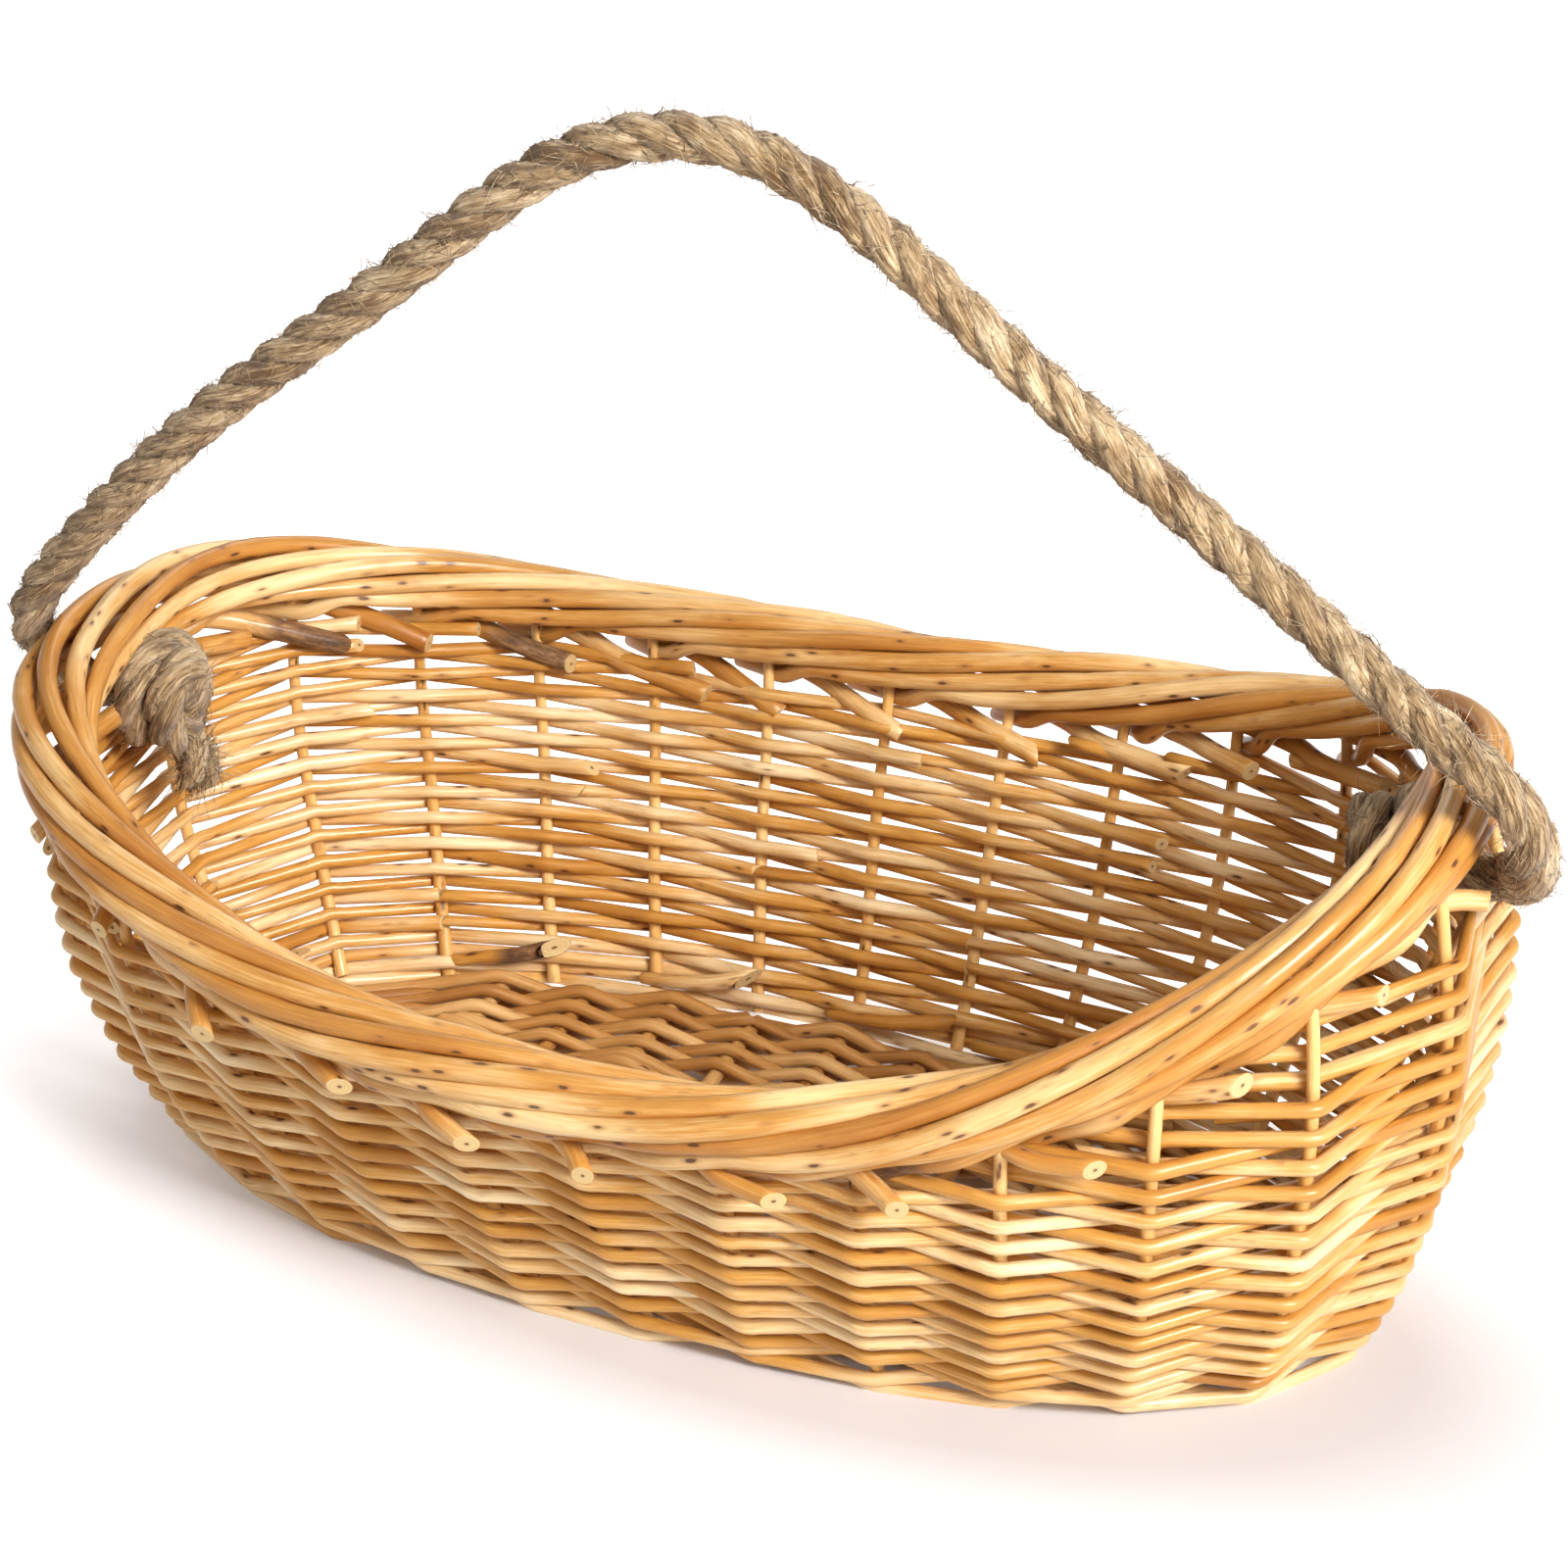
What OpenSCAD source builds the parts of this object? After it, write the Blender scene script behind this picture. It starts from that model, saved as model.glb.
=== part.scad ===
// Oval willow egg basket with a swinging rope handle.
// Millimetres. +Z is up, X runs along the basket's length, and the origin is on the ground
// under the middle of the rim.

/* [Outline] */
// Length of the rim, along its centre line
rim_l = 441; // [425:1:460]
// Width of the rim, along its centre line
rim_w = 254; // [240:1:268]
// How far the rim sits towards the high end
rim_shift = 1; // [-1:0.5:3]
// Length of the base, out to the side stakes
base_l = 398; // [392:1:406]
// Width of the base, out to the side stakes
base_w = 173; // [165:1:185]
// How far the base sits towards the high end
base_shift = 5.5; // [4:0.5:7]
// Rim height at the middle of the long sides
dip_h = 117.5; // [114:0.5:122]
// How much the far side stands above that, and the near side below it
dip_skew = 8; // [0:1:8]
// Rim height at the low end
low_end_h = 153; // [148:1:162]
// Rim height at the high end
high_end_h = 185; // [180:1:200]
// Outward belly of the long sides, as a share of their lean
side_belly = 0.2; // [0:0.05:0.3]
// Outward belly of the low end, as a share of its lean
low_end_belly = 2.3; // [1.8:0.1:2.5]
// Outward belly of the high end, as a share of its lean
high_end_belly = 4; // [3:0.1:4.2]

/* [Willow rods] */
// Number of upright side stakes
stakes = 26; // [22:2:28]
// Diameter of a side stake
stake_d = 4.2; // [3.6:0.1:4.4]
// Diameter of a side weaver
weaver_d = 4.1; // [3.6:0.1:4.2]
// Height from one row of weavers to the next, at the dip
row_pitch = 4.2; // [4.2:0.01:4.3]
// How much the rows spread where the wall is tall
row_fan = 0.1; // [0:0.02:0.2]
// Diameter of a foot wale rod
wale_d = 3.4; // [3.2:0.1:3.6]
// Diameter of a border rod
border_d = 5.8; // [5.4:0.1:5.8]
// Radius at which the border rods roll round the rim's centre line
border_roll_r = 9; // [8.9:0.1:9.3]

/* [Base] */
// Number of sticks across the base
cross_sticks = 9; // [7:2:9]
// Spacing of the sticks across the base
cross_pitch = 30.1; // [28.8:0.1:30.1]
// Diameter of a base stick
base_stick_d = 5.2; // [4.6:0.1:5.4]
// Number of oval rounds woven round the base
base_rounds = 9; // [6:1:9]
// Diameter of a base weaver
base_weaver_d = 4.2; // [3.8:0.1:4.2]

/* [Rope handle] */
// Diameter of the three-strand rope
rope_d = 13.6; // [12:0.2:14]
// Length of rope in which a strand makes one turn
rope_lay = 46; // [40:1:54]
// Height of the rope's middle at the top of the handle
handle_h = 348; // [330:1:365]
// Height of the rope hole in the low end
low_hole_h = 133; // [128:1:133]
// Height of the rope hole in the high end
high_hole_h = 164; // [156:1:165]
// Diameter of the knot inside each end
knot_d = 40; // [36:1:42]

/* [Hidden] */

gap = 0.15;                  // clear air left between rods that touch on the real basket
rod_sides = 5;               // flats on a woven rod
rim_n = 2.4;                 // squareness of the rim's oval, where 2 is an ellipse
base_n = 2.3;                // squareness of the base's oval
end_rise = 1.9;              // how suddenly the rim climbs towards its ends
full_rows = 20;              // rows that go right round
most_rows = 40;              // more rows than any wall has room for

// Heights in the base: the long sticks lie on the ground and the cross sticks on them.
stick_r = base_stick_d / 2;
cross_z = base_stick_d + stick_r + gap / 2;
base_over_z = cross_z + stick_r + base_weaver_d / 2 + 2 * gap;
base_under_z = cross_z - stick_r - base_weaver_d / 2 - 2 * gap;
long_stick_y = 7;
hoop_r = 3;
hoop_inset = 9.6;
base_round_pitch = base_weaver_d + 0.62;

// Heights on the wall.
wall_z0 = 2;
wale_z0 = 3.9;
wale_pitch = wale_d + gap;
row_z0 = wale_z0 + 3 * wale_pitch + 0.2;
border_r = border_roll_r + border_d / 2;
row_headroom = border_r + weaver_d / 2 + 1.4;
stake_top_gap = border_r + 0.4;

// The border rods each start under the rim, climb its outside, cross the top and run down its inside.
border_start = -68;
border_step = 42.5;          // turn of a border rod from one stake to the next
border_span = 7.1;           // stakes that a border rod passes
border_sections = 13;

strand_r = rope_d / 2 / 2.155;            // three equal circles inside the rope's circle
strand_lay_r = rope_d / 2 - strand_r + 0.1;
hole_clear = rope_d / 2 + weaver_d / 2 + 1;

function unit(v) = v / norm(v);
function spow(v, e) = sign(v) * pow(abs(v), e);
function oval(t, a, b, n) = [a * spow(cos(t), 2 / n), b * spow(sin(t), 2 / n)];
function base_xy(t) = oval(t, base_l / 2, base_w / 2, base_n) + [base_shift, 0];
function rim_xy(t) = oval(t, rim_l / 2, rim_w / 2, rim_n) + [rim_shift, 0];
function side_h(t) = dip_h + dip_skew * sin(t);
function end_h(t) = cos(t) > 0 ? high_end_h : low_end_h;
function end_belly(t) = cos(t) > 0 ? high_end_belly : low_end_belly;
function rim_h(t) = side_h(t) + (end_h(t) - side_h(t)) * pow(abs(cos(t)), end_rise);
function rim(t) = let (p = rim_xy(t)) [p.x, p.y, rim_h(t)];

// The wall's middle surface: direction t round the basket, height z.
function wall(t, z) =
    let (f = (z - wall_z0) / (rim_h(t) - wall_z0))
    let (belly = side_belly + (end_belly(t) - side_belly) * pow(cos(t), 2))
    let (p = base_xy(t) + (rim_xy(t) - base_xy(t)) * (f + belly * f * (1 - f)))
    [p.x, p.y, z];
function wall_up(t, z) = unit(wall(t, z + 1) - wall(t, z));
function wall_out(t, z) =
    let (along = wall(t + 1, z) - wall(t - 1, z))
    unit(cross(along, wall_up(t, z)));

// Stakes stand at even steps round the base, with the two rope holes midway between stakes.
function steps(p) = [
    for (i = 0, s = 0; i < len(p); s = s + (i + 1 < len(p) ? norm(p[i + 1] - p[i]) : 0), i = i + 1)
        s
];
round_points = [for (t = [0:2:360]) base_xy(t)];
round_length = steps(round_points);
round_table = [for (i = [0:len(round_length) - 1]) [round_length[i], 2 * i]];
function stake_t(i) =
    let (turns = floor((i + 0.5) / stakes))
    let (share = (i + 0.5) / stakes - turns)
    360 * turns + lookup(share * round_length[len(round_length) - 1], round_table);

// A rod is a list of sections. Each section is a ring of points round a centre.
function travel(path, i, closed) =
    let (n = len(path))
    let (a = closed ? (i + n - 1) % n : max(i - 1, 0))
    let (b = closed ? (i + 1) % n : min(i + 1, n - 1))
    unit(path[b] - path[a]);
function section(c, d, ref, r, sides, turn = 0) =
    let (v = unit(cross(d, ref)))
    let (u = cross(v, d))
    [for (j = [0:sides - 1]) let (a = turn + 360 * j / sides) c + r * (cos(a) * u + sin(a) * v)];
function rod(path, refs, r, sides = rod_sides, closed = false, turn = 0) = [
    [
        for (i = [0:len(path) - 1])
            section(path[i], travel(path, i, closed), refs[i], is_list(r) ? r[i] : r, sides, turn)
    ],
    closed
];

function skin(n, m, closed, at) = [
    for (i = [0:n - (closed ? 1 : 2)], j = [0:m - 1])
        let (k = (i + 1) % n, l = (j + 1) % m)
        each [
            [at + i * m + j, at + k * m + l, at + i * m + l],
            [at + i * m + j, at + k * m + j, at + k * m + l]
        ]
];
function caps(n, m, at) = [
    for (j = [1:m - 2])
        each [
            [at, at + j, at + j + 1],
            [at + (n - 1) * m, at + (n - 1) * m + j + 1, at + (n - 1) * m + j]
        ]
];
function points_in(rods) = [for (r = rods) len(r[0]) * len(r[0][0])];
function before(counts) = [
    for (i = 0, s = 0; i < len(counts); s = s + counts[i], i = i + 1)
        s
];

// Draws any number of rods that don't touch, each as its own closed solid.
module draw_rods(rods) {
    starts = before(points_in(rods));
    points = [for (r = rods, ring = r[0]) each ring];
    faces = [
        for (i = [0:len(rods) - 1])
            let (n = len(rods[i][0]), m = len(rods[i][0][0]), closed = rods[i][1])
            each concat(skin(n, m, closed, starts[i]), closed ? [] : caps(n, m, starts[i]))
    ];
    polyhedron(points = points, faces = faces);
}

// Side weaving: row k passes outside one stake and inside the next.
function row_z(k, t) = row_z0 + k * row_pitch * (1 + row_fan * (rim_h(t) / dip_h - 1));
side_offset = 1.03 * (stake_d + weaver_d) / 2 + gap;
function row_point(k, i) =
    let (t = stake_t(i), z = row_z(k, t))
    wall(t, z) + ((i + k) % 2 == 0 ? 1 : -1) * side_offset * wall_out(t, z);
function row_fits(k, i) = row_z(k, stake_t(i)) < rim_h(stake_t(i)) - row_headroom;
function hole_h(i) = i == stakes - 1 ? high_hole_h : low_hole_h;
function row_at_hole(k, i) =
    (i == stakes - 1 || i == stakes / 2 - 1) &&
    abs((row_z(k, stake_t(i)) + row_z(k, stake_t(i + 1))) / 2 - hole_h(i)) < hole_clear;
// Does the stretch of row k from stake i to the next exist?
function stretch(k, i) =
    row_fits(k, i % stakes) && row_fits(k, (i + 1) % stakes) && !row_at_hole(k, i % stakes);
function run_end(k, i) = stretch(k, i) ? run_end(k, i + 1) : i;
function run_starts(k) = [
    for (i = [0:stakes - 1])
        if (stretch(k, i) && !stretch(k, i + stakes - 1))
            i
];
function row_rod(k, a, b, closed = false) = rod(
    [for (i = [a:b]) row_point(k, i % stakes)],
    [for (i = [a:b]) wall_up(stake_t(i % stakes), row_z(k, stake_t(i % stakes)))],
    weaver_d / 2,
    closed = closed
);
function row_runs(k) =
    len(run_starts(k)) == 0
        ? [row_rod(k, 0, stakes - 1, true)]
        : [for (a = run_starts(k)) row_rod(k, a, run_end(k, a))];
function at_high_end(i) = cos(stake_t(i)) > 0;
function packing(high) = [
    for (k = [full_rows:most_rows], a = run_starts(k))
        let (b = run_end(k, a), middle = floor((a + b) / 2) % stakes)
        if (at_high_end(middle) == high && b > a)
            row_rod(k, a, b)
];

// Foot wale: each rod passes outside two stakes and inside one.
wale_offset = 1.05 * (stake_d + wale_d) / 2 + gap;
function wale_point(k, i) =
    let (t = stake_t(i), z = wale_z0 + k * wale_pitch)
    wall(t, z) + ((i + k) % 3 == 2 ? -1 : 1) * wale_offset * wall_out(t, z);
function wale_rod(k) = rod(
    [for (i = [0:stakes - 1]) wale_point(k, i)],
    [for (i = [0:stakes - 1]) wall_up(stake_t(i), wale_z0)],
    wale_d / 2
);

// A stake follows the wall's middle surface from the base up to the border.
stake_sections = 6;
function stake_rod(i) =
    let (t = stake_t(i), top = rim_h(t) - stake_top_gap)
    let (zs = [for (s = [0:stake_sections - 1]) wall_z0 + (top - wall_z0) * s / (stake_sections - 1)])
    rod([for (z = zs) wall(t, z)], [for (z = zs) wall_out(t, z)], stake_d / 2);

// A border rod rolls once round the rim while it passes several stakes.
function rim_frame(t) =
    let (d = unit(rim(t + 1) - rim(t - 1)))
    let (out = unit(cross(d, [0, 0, 1])))
    [out, cross(out, d)];
function border_dir(t, a) = let (f = rim_frame(t)) cos(a) * f[0] + sin(a) * f[1];
function border_rod(i) =
    let (at = [for (s = [0:border_sections - 1]) border_span * s / (border_sections - 1)])
    let (dirs = [for (s = at) border_dir(stake_t(i + s), border_start + border_step * s)])
    rod(
        [for (s = [0:border_sections - 1]) rim(stake_t(i + at[s])) + border_roll_r * dirs[s]],
        dirs,
        border_d / 2
    );

// Base: ovals woven over and under the cross sticks, round a middle of long sticks.
base_woven_inset = hoop_inset + hoop_r + 3 * gap + base_weaver_d / 2;
function base_half_l(j) = base_l / 2 - base_woven_inset - j * base_round_pitch;
function base_half_w(j) = base_w / 2 - base_woven_inset - j * base_round_pitch;
function cross_x(i) = (i - (cross_sticks - 1) / 2) * cross_pitch;
function oval_y(x, a, b) = b * pow(max(1 - pow(abs(x) / a, base_n), 0), 1 / base_n);
end_z = base_stick_d + base_weaver_d / 2 + gap;
end_hold_y = long_stick_y + stick_r + base_weaver_d / 2 + 1;
function base_side(j, side) = [
    for (n = [0:cross_sticks - 1])
        let (i = side > 0 ? cross_sticks - 1 - n : n)
        let (x = cross_x(i), y = side * oval_y(x, base_half_l(j), base_half_w(j)))
        [x + base_shift, y, (i + j) % 2 == 0 ? base_over_z : base_under_z]
];
function base_end(j, side) =
    let (a = base_half_l(j), b = base_half_w(j))
    let (t_side = acos(pow(cross_x(cross_sticks - 1) / a, base_n / 2)))
    let (t_hold = asin(pow(end_hold_y / b, base_n / 2)))
    [
        for (t = [
            -t_side + (t_side - t_hold) / 3,
            -t_hold - (t_side - t_hold) / 3,
            -t_hold,
            0,
            t_hold,
            t_hold + (t_side - t_hold) / 3,
            t_side - (t_side - t_hold) / 3
        ])
            let (p = oval(t, a, b, base_n))
            [side * p.x + base_shift, side * p.y, end_z]
    ];
function base_round(j) =
    let (path = concat(base_side(j, 1), base_end(j, -1), base_side(j, -1), base_end(j, 1)))
    rod(path, [for (p = path) [0, 0, 1]], base_weaver_d / 2, closed = true);
// Inside the last round, straight rods fill the middle on both sides of the long sticks.
last_round = base_rounds - 1;
fill_rods = floor((base_half_w(last_round) - long_stick_y - stick_r) / base_round_pitch - 0.85);
function fill_rod(k, side) =
    let (y = base_half_w(last_round) - (k + 0.35) * base_round_pitch)
    let (reach = base_half_l(last_round) * pow(1 - pow(y / base_half_w(last_round), base_n), 1 / base_n))
    let (on = [for (i = [0:cross_sticks - 1]) if (abs(cross_x(i)) < reach - 12) i])
    let (first = cross_x(on[0]) - 4, last = cross_x(on[len(on) - 1]) + 4)
    let (path = [
        for (i = on)
            [cross_x(i), (i + k) % 2 == 0 ? base_under_z : base_over_z]
    ])
    rod(
        [
            [first + base_shift, side * y, path[0].y],
            for (p = path) [p.x + base_shift, side * y, p.y],
            [last + base_shift, side * y, path[len(path) - 1].y]
        ],
        [for (i = [0:len(path) + 1]) [0, 0, 1]],
        base_weaver_d / 2
    );
cross_room = hoop_inset + hoop_r + gap;
function cross_stick(i) =
    let (y = oval_y(cross_x(i), base_l / 2 - cross_room, base_w / 2 - cross_room) - 1)
    rod(
        [for (s = [-1, 1]) [cross_x(i) + base_shift, s * y, cross_z]],
        [[0, 0, 1], [0, 0, 1]],
        stick_r,
        sides = 8,
        turn = 22.5
    );
// Long sticks have a flat shaved underside, on which the basket stands.
module long_stick(y, l) {
    translate([base_shift, y, stick_r])
        rotate([0, 90, 0])
            linear_extrude(height = l, center = true)
                intersection() {
                    circle(r = stick_r, $fn = 24);
                    translate([-stick_r, -stick_r])
                        square([2 * stick_r, 2 * stick_r]);
                }
    translate([base_shift, y, stick_r / 2])
        cube([l, 1.8 * stick_r, stick_r], center = true);
}

// The handle's path: out of one hole, up past the border, over the top and down into the other hole.
low_wall_x = wall(180, low_hole_h).x;
high_wall_x = wall(0, high_hole_h).x;
knot_gap = 9;
border_pass = border_r + rope_d / 2 + 3;
low_out = rim_shift - rim_l / 2 - border_pass;
high_out = rim_shift + rim_l / 2 + border_pass;
rope_points = [
    [low_wall_x + knot_gap, 0, low_hole_h],
    [low_wall_x - 6, 0, low_hole_h],
    [low_out - 1, -4, low_hole_h + 11],
    [low_out + 3.5, -11, low_end_h + 17],
    [-0.815 * rim_l / 2, -12, 0.67 * handle_h],
    [-0.505 * rim_l / 2, -8, 0.833 * handle_h],
    [-0.24 * rim_l / 2, -3, 0.967 * handle_h],
    [-0.041 * rim_l / 2, 0, handle_h],
    [0.14 * rim_l / 2, 0, 0.962 * handle_h],
    [0.416 * rim_l / 2, -8, 0.85 * handle_h],
    [0.696 * rim_l / 2, -16, 0.741 * handle_h],
    [0.912 * rim_l / 2, -24, 0.656 * handle_h],
    [high_out - 5.5, -27, high_end_h + 18],
    [high_out + 0.5, -16, high_hole_h + 13],
    [high_wall_x + 6, 0, high_hole_h],
    [high_wall_x - knot_gap, 0, high_hole_h]
];
function curve(p, i, f) =
    let (n = len(p) - 1)
    let (a = p[max(i - 1, 0)], b = p[i], c = p[i + 1], d = p[min(i + 2, n)])
    b + f / 2 * (c - a + f * (2 * a - 5 * b + 4 * c - d + f * (3 * (b - c) + d - a)));
rope_fine = [for (i = [0:len(rope_points) - 2], f = [0:0.1:0.95]) curve(rope_points, i, f)];
rope_length = steps(rope_fine);
rope_total = rope_length[len(rope_length) - 1];
function rope_table(j) = [for (i = [0:len(rope_fine) - 1]) [rope_length[i], rope_fine[i][j]]];
rope_tables = [rope_table(0), rope_table(1), rope_table(2)];
function rope_at(s) = [for (j = [0:2]) lookup(s, rope_tables[j])];
rope_sections = 6 * ceil(rope_total / rope_lay);
function strand(k) =
    let (at = [for (i = [0:rope_sections]) rope_total * i / rope_sections])
    let (dirs = [
        for (s = at)
            let (d = unit(rope_at(min(s + 2, rope_total)) - rope_at(max(s - 2, 0))))
            let (up = unit(cross(d, [0, 1, 0])), a = 120 * k + 360 * s / rope_lay)
            cos(a) * up + sin(a) * cross(d, up)
    ])
    rod([for (i = [0:rope_sections]) rope_at(at[i]) + strand_lay_r * dirs[i]], dirs, strand_r - 0.4);

// A knot is a lumpy ball on the rope's end, and its tail hangs from it.
knot_l = 0.9 * knot_d;
knot_sections = 7;
knot_stand_off = 1.5;       // air between a knot and the end of the rope it sits on
function knot_profile(s) = knot_d / 2 * pow(max(1 - pow(2 * s - 1, 2), 0.06), 0.5);
module knot(end_x, side, z) {
    xs = [for (i = [0:knot_sections - 1]) i / (knot_sections - 1)];
    draw_rods([
        rod(
            [for (s = xs) [end_x + side * (knot_stand_off + knot_l * s), 0, z]],
            [for (s = xs) [0, 0, 1]],
            [for (s = xs) knot_profile(s)],
            sides = 10
        )
    ]);
}
tail_l = 26;
module rope_tail(x, side, z) {
    top = z - knot_d / 2 - gap;
    draw_rods([
        rod(
            [for (s = [0, 0.5, 1]) [x + side * 5 * s, -3 * s, top - tail_l * s]],
            [for (s = [0, 0.5, 1]) [1, 0, 0]],
            [0.42 * rope_d, 0.5 * rope_d, 0.3 * rope_d],
            sides = 8
        )
    ]);
}
low_knot_x = low_wall_x + knot_gap;
high_knot_x = high_wall_x - knot_gap;

module base_long_sticks() {
    color("peru")
        for (y = [-long_stick_y, 0, long_stick_y])
            long_stick(y, base_l - 2 * cross_room - 4);
}
module base_cross_sticks() {
    color("sienna")
        draw_rods([for (i = [0:cross_sticks - 1]) cross_stick(i)]);
}
module base_hoop() {
    path = [
        for (i = [0:stakes - 1])
            let (p = oval(stake_t(i), base_l / 2 - hoop_inset, base_w / 2 - hoop_inset, base_n))
            [p.x + base_shift, p.y, hoop_r * cos(30)]
    ];
    color("peru")
        draw_rods([rod(path, [for (p = path) [0, 0, 1]], hoop_r, sides = 6, closed = true, turn = 30)]);
}
module base_rounds_woven() {
    color("tan")
        draw_rods([for (j = [0:base_rounds - 1]) base_round(j)]);
}
module base_filling() {
    color("burlywood")
        draw_rods([for (k = [1:fill_rods], side = [-1, 1]) fill_rod(k, side)]);
}
module side_stakes() {
    color("wheat")
        draw_rods([for (i = [0:stakes - 1]) stake_rod(i)]);
}
module foot_wale() {
    color("goldenrod")
        draw_rods([for (k = [0:2]) wale_rod(k)]);
}
module weaver_row(number) {
    color(number % 2 == 0 ? "burlywood" : "sandybrown")
        draw_rods(row_runs(number - 1));
}
module packing_rows_low_end() {
    color("navajowhite")
        draw_rods(packing(false));
}
module packing_rows_high_end() {
    color("navajowhite")
        draw_rods(packing(true));
}
module border_rods() {
    color("burlywood")
        draw_rods([for (i = [0:stakes - 1]) border_rod(i)]);
}
module rope_strand(number) {
    color("darkkhaki")
        draw_rods([strand(number)]);
}
module knot_low_end() {
    color("khaki")
        knot(low_knot_x, 1, low_hole_h);
}
module knot_high_end() {
    color("khaki")
        knot(high_knot_x, -1, high_hole_h);
}
module rope_tail_low_end() {
    color("gold")
        rope_tail(low_knot_x + knot_l * 0.6, 1, low_hole_h);
}
module rope_tail_high_end() {
    color("gold")
        rope_tail(high_knot_x - knot_l * 0.6, -1, high_hole_h);
}

base_long_sticks();
base_cross_sticks();
base_hoop();
base_rounds_woven();  // base_rounds
base_filling();
side_stakes();
foot_wale();
weaver_row(1);  // weaver_row_01
weaver_row(2);  // weaver_row_02
weaver_row(3);  // weaver_row_03
weaver_row(4);  // weaver_row_04
weaver_row(5);  // weaver_row_05
weaver_row(6);  // weaver_row_06
weaver_row(7);  // weaver_row_07
weaver_row(8);  // weaver_row_08
weaver_row(9);  // weaver_row_09
weaver_row(10);  // weaver_row_10
weaver_row(11);  // weaver_row_11
weaver_row(12);  // weaver_row_12
weaver_row(13);  // weaver_row_13
weaver_row(14);  // weaver_row_14
weaver_row(15);  // weaver_row_15
weaver_row(16);  // weaver_row_16
weaver_row(17);  // weaver_row_17
weaver_row(18);  // weaver_row_18
weaver_row(19);  // weaver_row_19
weaver_row(20);  // weaver_row_20
packing_rows_low_end();
packing_rows_high_end();
border_rods();
rope_strand(1);  // rope_strand_1
rope_strand(2);  // rope_strand_2
rope_strand(3);  // rope_strand_3
knot_low_end();
knot_high_end();
rope_tail_low_end();
rope_tail_high_end();
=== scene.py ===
import math

import bpy
import numpy as np
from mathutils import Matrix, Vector


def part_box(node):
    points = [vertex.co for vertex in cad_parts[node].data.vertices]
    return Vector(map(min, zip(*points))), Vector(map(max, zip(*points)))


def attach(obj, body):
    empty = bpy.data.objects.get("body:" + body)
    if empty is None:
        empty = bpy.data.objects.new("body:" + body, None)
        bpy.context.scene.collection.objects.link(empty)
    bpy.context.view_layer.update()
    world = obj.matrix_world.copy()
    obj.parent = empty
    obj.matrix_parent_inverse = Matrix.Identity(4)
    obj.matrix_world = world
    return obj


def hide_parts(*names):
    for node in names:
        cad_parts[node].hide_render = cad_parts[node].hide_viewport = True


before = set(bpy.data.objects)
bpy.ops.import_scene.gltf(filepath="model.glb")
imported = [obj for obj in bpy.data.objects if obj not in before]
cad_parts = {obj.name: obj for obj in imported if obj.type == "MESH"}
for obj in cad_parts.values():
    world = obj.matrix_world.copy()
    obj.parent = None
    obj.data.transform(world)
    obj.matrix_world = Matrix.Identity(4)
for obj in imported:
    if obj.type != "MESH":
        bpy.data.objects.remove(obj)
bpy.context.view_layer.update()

MM = 0.001
UP = np.array([0.0, 0.0, 1.0])
ACROSS = np.array([0.0, 1.0, 0.0])


# ---------------------------------------------------------------- the basket's outline
def corners(node):
    """Lowest and highest corner of a CAD node."""
    low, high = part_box(node)
    return np.array(low), np.array(high)


STAKES = 26
ROLL_REACH = 11.8 * MM          # from the rim's centre line to the outside of its border
END_SPREAD = 0.8 * MM           # of that centre line at both ends, past where the CAD border reaches
LONG_STICK_INSET = 14.75 * MM   # from the base's outline to the end of a long stick
HOOP_INSET = 6.6 * MM           # from the base's outline to the outside of the hoop
DIP_H = 117.5 * MM              # of the rim, halfway along the basket
DIP_SKEW = 8 * MM               # how much higher the far side is there, and the near side lower
LOW_END_H = 153 * MM
END_RISE = 1.9                  # the power by which the rim climbs towards its ends
RIM_SQUARENESS = 2.4            # 2 is an ellipse
BASE_SQUARENESS = 2.3
SIDE_BELLY = 0.2
LOW_END_BELLY = 2.3
HIGH_END_BELLY = 4
WALL_FOOT = 2 * MM
SMALL_TURN = 0.02               # radians, for slopes along the rim and the wall

rim_low, rim_high = corners("border_rods")
stick_low, stick_high = corners("base_long_sticks")
hoop_low, hoop_high = corners("base_hoop")
RIM_SHIFT = (rim_low[0] + rim_high[0]) / 2
RIM_A = (rim_high[0] - rim_low[0]) / 2 - ROLL_REACH + END_SPREAD
RIM_B = (rim_high[1] - rim_low[1]) / 2 - ROLL_REACH
HIGH_END_H = rim_high[2] - ROLL_REACH
BASE_SHIFT = (stick_low[0] + stick_high[0]) / 2
BASE_A = (stick_high[0] - stick_low[0]) / 2 + LONG_STICK_INSET
BASE_B = (hoop_high[1] - hoop_low[1]) / 2 + HOOP_INSET


def unit(v):
    return v / np.maximum(np.linalg.norm(v, axis=-1, keepdims=True), 1e-12)


def signed_power(v, power):
    return np.sign(v) * np.abs(v) ** power


def oval(t, a, b, squareness):
    """Points of an oval with half sides a and b, in directions t."""
    return a * signed_power(np.cos(t), 2 / squareness), b * signed_power(np.sin(t), 2 / squareness)


def base_xy(t):
    x, y = oval(t, BASE_A, BASE_B, BASE_SQUARENESS)
    return np.stack([x + BASE_SHIFT, y], -1)


def rim_xy(t):
    x, y = oval(t, RIM_A, RIM_B, RIM_SQUARENESS)
    return np.stack([x + RIM_SHIFT, y], -1)


def rim_height(t):
    side = DIP_H + DIP_SKEW * np.sin(t)
    end = np.where(np.cos(t) > 0, HIGH_END_H, LOW_END_H)
    return side + (end - side) * np.abs(np.cos(t)) ** END_RISE


def rim(t):
    return np.concatenate([rim_xy(t), rim_height(t)[..., None]], -1)


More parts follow.
